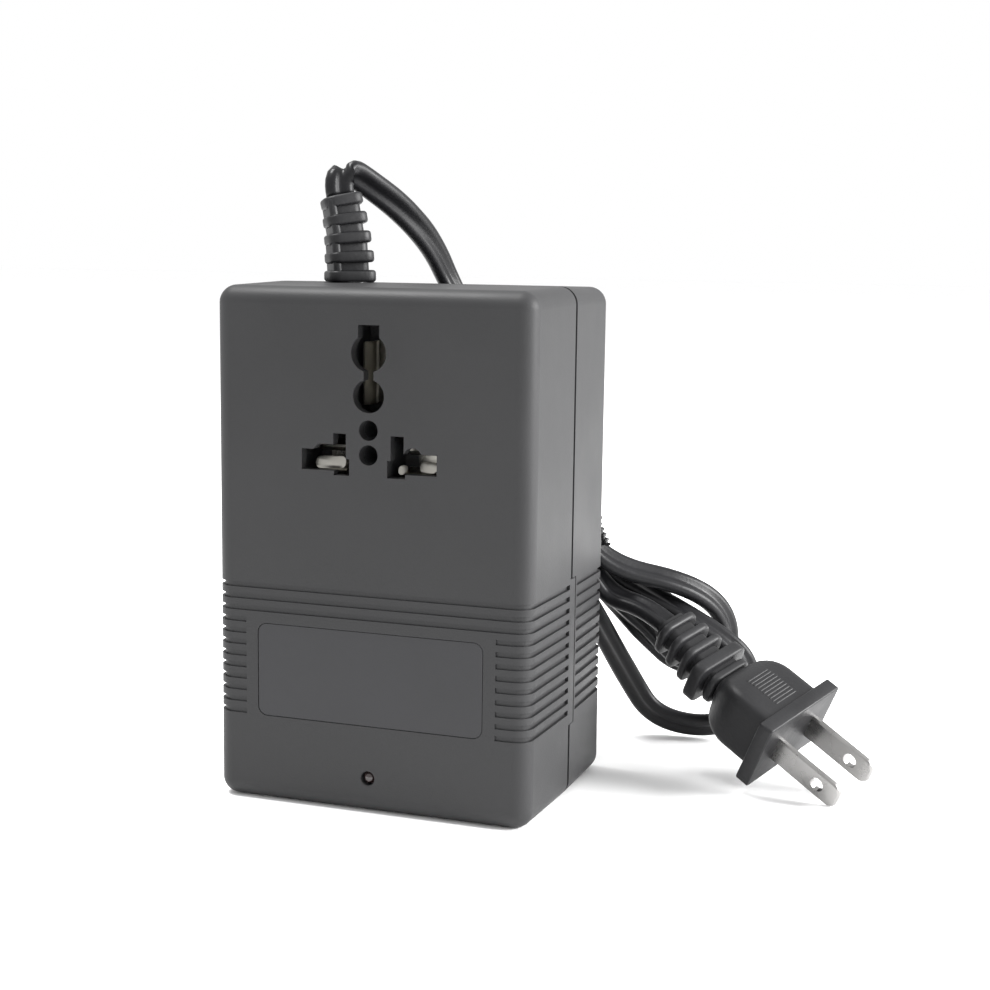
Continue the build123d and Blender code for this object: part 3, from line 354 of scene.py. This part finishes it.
# Plug
# The plug is moulded in one shot of black PVC over its blades and the end of the cord: a square
# flange, a ribbed grip with round shoulders, a neck ring, a collar and a relief of three ribs.
plug_face = Vector((80.2, 25.1, 12.05)) * mm
plug_axis = Vector((0.832, -0.262, -0.489)).normalized()
plug_side = (plug_across - plug_axis * plug_across.dot(plug_axis)).normalized()
plug_up = plug_axis.cross(plug_side)
flange_size = (26.0, 17.5)
flange_thickness = 3.4
flange_corner = 0.9
flange_rim = 0.35
grip_size = (19.8, 15.4)
grip_length = 15.0
grip_corner = 2.6
shoulder_start = 0.5
shoulder_fall = (0.40, 0.48)
shoulder_steps = 9
ridge_count = 10
ridge_pitch = 0.9
ridge_start = 5.6
ridge_length = 7.5
ridge_profile = ((-0.31, -0.3), (-0.27, 0.05), (-0.17, 0.13), (0.17, 0.13), (0.27, 0.05), (0.31, -0.3))
ridge_ends = ((-0.5, 0.3), (-0.47, 0.8), (-0.43, 1), (0.43, 1), (0.47, 0.8), (0.5, 0.3))
neck_size = (10.5, 6.5)
neck_start = 10
neck_corner = 2.0
neck_ring_size = (13.6, 7.8)
neck_ring_start = 19.2
neck_ring_thickness = 2.2
neck_ring_rim = 0.7
collar_size = (17.0, 10.0)
collar_start = 22.2
collar_thickness = 3.2
collar_corner = 2.4
collar_rim = 0.6
relief_start = 25.4
relief_end = 38.5
relief_overlap = 0.5
relief_sizes = ((8.8, 6.2), (8.4, 5.6))
relief_length = 13.2
relief_rise = 2.0
relief_ribs = ((27.53, 13.2, 9.2), (31.46, 12.7, 8.7), (35.39, 12.2, 8.2))
rib_thickness = 1.9
rib_corner = 2.6
rib_rim = 0.6
plug_steps = 6
rim_steps = 4
plug_sharp = math.radians(40)


def plug_spot(setback, x, y):
    """A point of the plug, that far behind its face, across it and up it, in millimetres."""
    lift = max(0, setback - relief_start) / relief_length * relief_rise
    return plug_face - plug_axis * setback * mm + plug_side * x * mm + plug_up * (y + lift) * mm


def plug_skin(sections):
    """A closed skin over rounded sections: each is a setback, a width, a height and a corner radius."""
    spots = []
    for setback, width, height, corner in sections:
        spots += [plug_spot(setback, x, y) for x, y in soft_rectangle(width, height, corner, plug_steps)]
    return spots, tube_faces(len(sections), 4 * plug_steps)


def soft_block(start, thickness, width, height, corner, soft):
    """A rounded block whose two rims are rolled over with a small radius."""
    sections = []
    for turn in np.linspace(0, math.pi / 2, rim_steps):
        inset = 2 * soft * (1 - math.sin(turn))
        sections.append((start + soft * (1 - math.cos(turn)), width - inset, height - inset, corner))
    back = [(2 * start + thickness - at, wide, high, corner) for at, wide, high, corner in reversed(sections)]
    return plug_skin(sections + back)


def grip_sections():
    """The grip's sections: straight at first, then falling away in a quarter ellipse at its shoulders."""
    sections = [(flange_thickness - 0.4, *grip_size, grip_corner)]
    for share in np.sin(np.linspace(0, math.pi / 2, shoulder_steps)):
        at = shoulder_start + (1 - shoulder_start) * share
        sink = 1 - math.sqrt(max(0, 1 - share ** 2))
        width, height = (size * (1 - fall * sink) for size, fall in zip(grip_size, shoulder_fall))
        sections.append((flange_thickness + at * grip_length, width, height, grip_corner + sink))
    return sections


def grip_height(setback):
    """Half the grip's height there."""
    share = max(0, ((setback - flange_thickness) / grip_length - shoulder_start) / (1 - shoulder_start))
    return grip_size[1] / 2 * (1 - shoulder_fall[1] * (1 - math.sqrt(1 - share ** 2)))


def grip_ridge(setback, face):
    """One fine raised ridge across a broad face of the grip, with rounded ends."""
    spots = []
    for along, share in ridge_ends:
        for shift, rise in ridge_profile:
            level = grip_height(setback) + rise * (share if rise > 0 else 1)
            spots.append(plug_spot(setback + shift, face * along * ridge_length, face * level))
    return spots, [face[::-1] for face in tube_faces(len(ridge_ends), len(ridge_profile))]


plug_forms = [soft_block(0, flange_thickness, *flange_size, flange_corner, flange_rim),
              plug_skin(grip_sections()),
              plug_skin([(at, *neck_size, neck_corner) for at in (neck_start, relief_start)]),
              soft_block(neck_ring_start, neck_ring_thickness, *neck_ring_size, rib_corner, neck_ring_rim),
              soft_block(collar_start, collar_thickness, *collar_size, collar_corner, collar_rim),
              plug_skin([(relief_start - relief_overlap, *relief_sizes[0], neck_corner),
                         (relief_end, *relief_sizes[1], neck_corner)])]
plug_forms += [soft_block(at, rib_thickness, wide, high, rib_corner, rib_rim)
               for at, wide, high in relief_ribs]
plug_forms += [grip_ridge(ridge_start + index * ridge_pitch, face)
               for face in (-1, 1) for index in range(ridge_count)]
plug = mesh_piece("plug_moulding", *joined(plug_forms))
plug.data.set_sharp_from_angle(angle=plug_sharp)
plug_pvc = moulded("plug_black_pvc", (0.009, 0.009, 0.010), 0.48, grain=1100, depth=0.05, blotch=90,
                   gleam=0.3)
plug.data.materials.append(plug_pvc)
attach(plug, body)
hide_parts("plug_body")

# Blades
# Two blades punched from brass strip, with broken edges, round tips and a hole in each. They are plated
# with nickel, and the plug is moulded round their roots.
blade_spacing = 12.7
blade_width = 6.35
blade_thickness = 1.5
blade_reach = 17.5
blade_root = 3.0
blade_edge = 0.35
blade_corner = 2.3
blade_hole = (11.9, 1.55)
blade_rim = 0.12
corner_points = 7
side_points = 10
blade_sharp = math.radians(25)


def blade_rim_line(inset):
    """The outline of a blade in its own plane, from root to tip and back, drawn in by a small inset."""
    half, tip, corner = blade_width / 2 - inset, blade_reach - inset, blade_corner - inset
    right = [(along, -half) for along in np.linspace(-blade_root + inset, tip - corner, side_points)]
    right += [(tip - corner + corner * math.sin(turn), -half + corner - corner * math.cos(turn))
              for turn in np.linspace(0, math.pi / 2, corner_points)[1:]]
    return right + [(along, -wide) for along, wide in reversed(right)]


def blade_skin(side):
    """One blade: a closed band of sections that run from its outer edge to its hole and back."""
    full, drawn = blade_rim_line(0), blade_rim_line(blade_edge)
    half = blade_thickness / 2
    spots = []
    for (x, y), (inner_x, inner_y) in zip(full, drawn):
        turn = math.atan2(y, x - blade_hole[0])
        hole = [(blade_hole[0] + reach * math.cos(turn), reach * math.sin(turn))
                for reach in (blade_hole[1], blade_hole[1] + blade_rim)]
        section = [(x, y, half - blade_edge), (inner_x, inner_y, half), (*hole[1], half),
                   (*hole[0], half - blade_rim), (*hole[0], blade_rim - half), (*hole[1], -half),
                   (inner_x, inner_y, -half), (x, y, blade_edge - half)]
        spots += [plug_face + plug_axis * along * mm + plug_up * across * mm
                  + plug_side * (side * blade_spacing / 2 + thick) * mm for along, across, thick in section]
    return spots, ring_faces(len(full), len(section))


blades = mesh_piece("nickel_blades", *joined([blade_skin(-1), blade_skin(1)]))
blades.data.set_sharp_from_angle(angle=blade_sharp)
blades.data.materials.append(moulded("blade_nickel", (0.30, 0.295, 0.29), 0.28, grain=900, depth=0.006,
                                     blotch=160, shift=0.06, spread=0.08, metal=1.0))
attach(blades, body)
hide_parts("plug_blades")

# Cord boot
# A soft boot of five ribs, moulded on the cord in the same PVC as the plug. Its neck fills the case's
# opening over a flange inside; above it the ribs are turned, lean to the left, and share a spine.
boot_foot = Vector((-16.1, 0.0, 110.65)) * mm
boot_turn = math.radians(40)
boot_bend = 74.4
boot_pitch = 4.05
boot_ribs = 5
boot_rib_thickness = 2.5
boot_first = (10.5, 8.3)
boot_last = (8.7, 7.2)
boot_core = (8.2, 5.4)
boot_spine = (1.9, 6.9)
boot_neck = (9.0, 8.0)
boot_flange = (14.0, 12.0)
boot_flange_span = (-4.87, -2.47)
boot_moulded_corner = 1.6
boot_rib_corner = 2.2
boot_rib_rim = 0.6
boot_core_corner = 1.8
boot_core_fall = 9
boot_spine_corner = 0.8
boot_spine_sink = 0.7
boot_fine_rim = 0.05
boot_neck_rim = 0.1
boot_flange_rim = 0.2
boot_core_start = 0.5
boot_core_top = 0.8
boot_lap = 0.1


def boot_spot(height, x, y, turn):
    """A point of the boot at a height on its bent middle line, in millimetres."""
    angle = max(0, height) / boot_bend
    middle = Vector((-boot_bend * (1 - math.cos(angle)), 0, boot_bend * math.sin(angle) + min(0, height)))
    flat = Matrix.Rotation(turn, 3, "Z") @ Vector((x, y, 0))
    return boot_foot + (middle + Matrix.Rotation(-angle, 3, "Y") @ flat) * mm


def boot_block(low, high, width, depth, corner, soft, shift=0.0, turn=boot_turn):
    """A rounded block of the boot from one height to another, with softly rolled rims."""
    levels = [(low + soft * (1 - math.cos(quarter)), soft * (1 - math.sin(quarter)))
              for quarter in np.linspace(0, math.pi / 2, rim_steps)]
    levels += [(high + low - level, inset) for level, inset in reversed(levels)]
    spots = [boot_spot(level, x + shift, y, turn) for level, inset in levels
             for x, y in reversed(soft_rectangle(width - 2 * inset, depth - 2 * inset, corner,
                                                 plug_steps))]
    return spots, tube_faces(len(levels), 4 * plug_steps)


boot_top = (boot_ribs - 1) * boot_pitch + boot_rib_thickness
boot_forms = [boot_block(boot_flange_span[1] - boot_lap, boot_lap, *boot_neck, boot_moulded_corner,
                         boot_neck_rim, turn=0),
              boot_block(*boot_flange_span, *boot_flange, boot_moulded_corner, boot_flange_rim, turn=0)]
for rib in range(boot_ribs):
    share = rib / (boot_ribs - 1)
    wide, deep = (first + share * (last - first) for first, last in zip(boot_first, boot_last))
    low = rib * boot_pitch
    boot_forms.append(boot_block(low, low + boot_rib_thickness, wide, deep, boot_rib_corner, boot_rib_rim))
for low, high in ((boot_core_start, boot_top / 2), (boot_top / 2 - boot_lap, boot_top - boot_core_top)):
    wide = boot_core[0] - low / boot_core_fall
    boot_forms.append(boot_block(low, high, wide, boot_core[1], boot_core_corner, boot_fine_rim))
    boot_forms.append(boot_block(low, high, *boot_spine, boot_spine_corner, boot_fine_rim,
                                 shift=boot_spine_sink - wide / 2))
boot = mesh_piece("ribbed_boot", *joined(boot_forms))
boot.data.set_sharp_from_angle(angle=plug_sharp)
boot.data.materials.append(plug_pvc)
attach(boot, body)
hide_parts("cord_boot")

# Case shells
# Two shells of dark grey ABS, moulded with a fine spark-eroded texture, that meet at a seam groove.
# Twelve grooves run round the lower half.
case_abs = moulded("case_dark_abs", (0.027, 0.027, 0.028), 0.5, grain=2600, depth=0.03, blotch=28, shift=0.1,
                   gleam=0.22)


def dress(names, material):
    """Gives CAD nodes their finish."""
    for name in names:
        for place in node[name].material_slots:
            place.material = material


dress(["front_shell", "rear_shell"], case_abs)

# Rating plate
# A bare plate of satin polyester film with round corners, cut to shape and glued into a shallow
# recess below the socket.
plate_film = moulded("plate_satin_film", (0.024, 0.024, 0.026), 0.36, grain=3000, depth=0.008, blotch=60,
                     shift=0.08, spread=0.05, gleam=0.25)
dress(["rating_plate"], plate_film)

# Contact carrier and contacts
# A black moulding behind the face guides the plug's pins, and each of its chambers holds a spring
# contact of tinned brass strip. The folded ends of the leaves show as pale lips in the blade openings.
carrier_black = moulded("carrier_black_nylon", (0.03, 0.03, 0.032), 0.5, grain=1800, depth=0.03)
dress(["contact_carrier"], carrier_black)
tinned = moulded("contact_tinned_brass", (0.36, 0.35, 0.32), 0.3, grain=1400, depth=0.02, shift=0.1,
                 metal=1.0)
dress(["live_contact", "neutral_contact", "earth_contact"], tinned)
lips = (((-10.55, 73.6), (6.5, 2.6), 12), ((11.6, 73.55), (4.0, 2.2), -4), ((5.85, 72.8), (1.9, 2.0), 35))
lip_depth = -21.6
lip_thickness = 0.4
lip_bevel = 0.05
lip_rim = 0.95
lip_corner = 0.42
lip_lean = 0.25


def contact_lip(place, size, tilt):
    """The rounded end of a contact's leaf, turned by a tilt and leaning back, from its place and size."""
    turn = math.radians(tilt)
    outline = soft_rectangle(*size, min(size) * lip_corner)
    layers = ((0, lip_rim), (lip_bevel, 1), (lip_thickness - lip_bevel, 1), (lip_thickness, lip_rim))
    spots = []
    for depth, shrink in layers:
        for x, z in outline:
            y = lip_depth + depth + x * math.sin(turn) + z * lip_lean
            spots.append(Vector((place[0] + x * math.cos(turn) * shrink, y, place[1] + z * shrink)) * mm)
    return spots, tube_faces(len(layers), len(outline))


lip_piece = mesh_piece("contact_lips", *joined([contact_lip(*lip) for lip in lips]))
lip_piece.data.set_sharp_from_angle(angle=plug_sharp)
lip_piece.data.materials.append(tinned)
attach(lip_piece, body)

# Indicator lamp and its board
# A small round lamp behind a hole in the front shell, with a tinted polycarbonate lens. It is soldered
# to a laminate board that carries its resistor.
lamp_lens = moulded("lamp_tinted_lens", (0.02, 0.012, 0.012), 0.12, grain=900, depth=0.01, coat=0.5)
board_laminate = moulded("board_laminate", (0.05, 0.16, 0.07), 0.45, grain=1600, depth=0.03, coat=0.3)
resistor_lacquer = moulded("resistor_lacquer", (0.6, 0.48, 0.3), 0.3, grain=1200, depth=0.02, coat=0.3)
dress(["indicator_lamp"], lamp_lens)
dress(["lamp_board"], board_laminate)
dress(["lamp_resistor"], resistor_lacquer)

# Transformer core
# Stamped E and I laminations of silicon steel, stacked and varnished. Four long screws of zinc-plated
# steel clamp them through washers.
lamination = 0.5 * mm
wave_unit = 20
layer_distortion = 0.4
layer_detail_scale = 3
layer_depth = 0.1 * mm


def laminated(name, colour, sheet):
    """Varnished stamped sheets: the edges of the stack show as fine lines across its thickness."""
    material = moulded(name, colour, 0.42, grain=700, depth=0.03, metal=0.85)
    nodes, links = material.node_tree.nodes, material.node_tree.links
    place = nodes.new("ShaderNodeTexCoord")
    layers = nodes.new("ShaderNodeTexWave")
    layers.bands_direction = "Y"
    layers.inputs["Scale"].default_value = 2 * math.pi / (wave_unit * sheet)
    layers.inputs["Distortion"].default_value = layer_distortion
    layers.inputs["Detail Scale"].default_value = layer_detail_scale
    links.new(place.outputs["Object"], layers.inputs["Vector"])
    bump = nodes.new("ShaderNodeBump")
    bump.inputs["Distance"].default_value = layer_depth
    links.new(layers.outputs["Fac"], bump.inputs["Height"])
    grain = next(item for item in nodes if item.type == "BUMP" and item != bump)
    links.new(grain.outputs["Normal"], bump.inputs["Normal"])
    links.new(bump.outputs["Normal"], nodes["Principled BSDF"].inputs["Normal"])
    return material


dress(["core_e_stack", "core_i_stack"], laminated("core_varnished_steel", (0.2, 0.2, 0.21), lamination))
zinc = moulded("screw_zinc_plate", (0.6, 0.61, 0.63), 0.3, grain=1500, depth=0.015, shift=0.08, metal=1.0)
dress(["core_screws", "core_washers", "carrier_screws", "case_screws", "coil_lugs"], zinc)

# Bobbin and winding
# A nylon bobbin round the middle leg carries the windings of enamelled copper wire, laid turn beside
# turn, under a band of polyester film tape that also holds the thermal cut-out.
dress(["coil_bobbin"], moulded("bobbin_nylon", (0.7, 0.68, 0.6), 0.5, grain=1500, depth=0.03, shift=0.05))
dress(["winding_tape"], moulded("tape_polyester", (0.8, 0.56, 0.08), 0.25, grain=900, depth=0.01, coat=0.4))
dress(["thermal_fuse"], moulded("fuse_case", (0.5, 0.45, 0.36), 0.4, grain=1200, depth=0.03))
wire_radius = 0.3 * mm
wire_sides = 6
corner_steps = 5
winding_corner = 4 * mm


def turn_tree():
    """A tree that lays turns of wire beside each other, with named inputs for the coil's sizes."""
    tree = bpy.data.node_groups.new("wire_turns", "GeometryNodeTree")
    face = tree.interface
    for name, kind in (("Turns", "NodeSocketInt"), ("Wire Radius", "NodeSocketFloat"),
                       ("Width", "NodeSocketFloat"), ("Depth", "NodeSocketFloat"),
                       ("Corner", "NodeSocketFloat"), ("Start", "NodeSocketVector"),
                       ("Wire", "NodeSocketMaterial")):
        face.new_socket(name, in_out="INPUT", socket_type=kind)
    face.new_socket("Geometry", in_out="OUTPUT", socket_type="NodeSocketGeometry")
    new, link = tree.nodes.new, tree.links.new
    sizes, result = new("NodeGroupInput"), new("NodeGroupOutput")
    loop = new("GeometryNodeCurvePrimitiveQuadrilateral")
    link(sizes.outputs["Width"], loop.inputs["Width"])
    link(sizes.outputs["Depth"], loop.inputs["Height"])
    bend = new("GeometryNodeFilletCurve")
    bend.mode = "POLY"
    bend.inputs["Count"].default_value = corner_steps
    link(loop.outputs["Curve"], bend.inputs["Curve"])
    link(sizes.outputs["Corner"], bend.inputs["Radius"])
    round_wire = new("GeometryNodeCurvePrimitiveCircle")
    round_wire.inputs["Resolution"].default_value = wire_sides
    link(sizes.outputs["Wire Radius"], round_wire.inputs["Radius"])
    turn = new("GeometryNodeCurveToMesh")
    link(bend.outputs["Curve"], turn.inputs["Curve"])
    link(round_wire.outputs["Curve"], turn.inputs["Profile Curve"])
    pitch = new("ShaderNodeMath")
    pitch.operation = "MULTIPLY"
    pitch.inputs[1].default_value = 2
    link(sizes.outputs["Wire Radius"], pitch.inputs[0])
    rise = new("ShaderNodeCombineXYZ")
    link(pitch.outputs["Value"], rise.inputs["Z"])
    stack = new("GeometryNodeMeshLine")
    link(sizes.outputs["Turns"], stack.inputs["Count"])
    link(sizes.outputs["Start"], stack.inputs["Start Location"])
    link(rise.outputs["Vector"], stack.inputs["Offset"])
    lay = new("GeometryNodeInstanceOnPoints")
    link(stack.outputs["Mesh"], lay.inputs["Points"])
    link(turn.outputs["Mesh"], lay.inputs["Instance"])
    real = new("GeometryNodeRealizeInstances")
    link(lay.outputs["Instances"], real.inputs["Geometry"])
    enamel = new("GeometryNodeSetMaterial")
    link(real.outputs["Geometry"], enamel.inputs["Geometry"])
    link(sizes.outputs["Wire"], enamel.inputs["Material"])
    link(enamel.outputs["Geometry"], result.inputs["Geometry"])
    return tree


def grown_piece(name, tree, values):
    """A plain mesh piece made by a tree from named values."""
    holder = bpy.data.objects.new(name, bpy.data.meshes.new(name + "_seed"))
    bpy.context.scene.collection.objects.link(holder)
    growth = holder.modifiers.new("growth", "NODES")
    growth.node_group = tree
    for item in tree.interface.items_tree:
        if item.in_out == "INPUT" and item.name in values:
            growth[item.identifier] = values[item.name]
    bpy.context.view_layer.update()
    made = holder.evaluated_get(bpy.context.evaluated_depsgraph_get())
    mesh = bpy.data.meshes.new_from_object(made)
    holder.modifiers.remove(growth)
    holder.data = mesh
    mesh.shade_smooth()
    return holder


copper = moulded("winding_enamelled_copper", (0.62, 0.26, 0.1), 0.28, grain=900, depth=0.01, shift=0.12,
                 metal=0.9, coat=0.3)
winding_low, winding_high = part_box("coil_winding")
turns_count = int((winding_high[2] - winding_low[2]) / (2 * wire_radius))
winding = grown_piece("winding_turns", turn_tree(), {
    "Turns": turns_count, "Wire Radius": wire_radius,
    "Width": winding_high[0] - winding_low[0] - 2 * wire_radius,
    "Depth": winding_high[1] - winding_low[1] - 2 * wire_radius,
    "Corner": winding_corner, "Start": (0.0, 0.0, winding_low[2] + wire_radius), "Wire": copper})
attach(winding, body)
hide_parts("coil_winding")

# Leads inside the case
# PVC-covered stranded leads, brown and blue, from the cord and the socket to the bobbin's lugs, and two
# pale ones to the lamp. Each is soldered at both ends.
lead_brown = moulded("lead_brown_pvc", (0.22, 0.06, 0.03), 0.38, depth=0.02)
lead_blue = moulded("lead_blue_pvc", (0.04, 0.09, 0.32), 0.38, depth=0.02)
lead_white = moulded("lead_white_pvc", (0.7, 0.7, 0.67), 0.38, depth=0.02, shift=0.05)
dress(["output_live_lead", "supply_live_lead"], lead_brown)
dress(["output_neutral_lead", "supply_neutral_lead"], lead_blue)
dress(["lamp_lead_left", "lamp_lead_right"], lead_white)

# Floor and light
# A seamless pale floor under an even white surround, with one large soft light on the right and a
# weaker one above.
floor_reach = 6.0
floor_white = (1.0, 1.0, 1.0, 1)
floor_rough = 0.9
surround_white = (1, 1, 1, 1)
surround_strength = 1.0
side_light = ((0.95, 0.22, 0.42), (0.03, 0.0, 0.06), 0.55, 26)
top_light = ((-0.3, -0.05, 0.95), (0, 0, 0.1), 0.35, 12)

floor_corners = [(x * floor_reach, y * floor_reach, 0) for x, y in ((-1, -1), (1, -1), (1, 1), (-1, 1))]
floor = mesh_piece("floor", floor_corners, [(0, 1, 2, 3)], False)
paper = bpy.data.materials.new("paper_sweep")
paper.use_nodes = True
paper.node_tree.nodes["Principled BSDF"].inputs["Base Color"].default_value = floor_white
paper.node_tree.nodes["Principled BSDF"].inputs["Roughness"].default_value = floor_rough
floor.data.materials.append(paper)


def soft_light(name, place, aim, size, power):
    """A square softbox at a place, turned to a point."""
    lamp = bpy.data.lights.new(name, "AREA")
    lamp.shape = "SQUARE"
    lamp.size = size
    lamp.energy = power
    box = bpy.data.objects.new(name, lamp)
    bpy.context.scene.collection.objects.link(box)
    box.location = place
    box.rotation_euler = (Vector(aim) - Vector(place)).to_track_quat("-Z", "Y").to_euler()


soft_light("side_softbox", *side_light)
soft_light("top_softbox", *top_light)
bpy.context.scene.view_settings.view_transform = "Standard"
world = bpy.data.worlds.new("white_surround")
world.use_nodes = True
world.node_tree.nodes["Background"].inputs["Color"].default_value = surround_white
world.node_tree.nodes["Background"].inputs["Strength"].default_value = surround_strength
bpy.context.scene.world = world
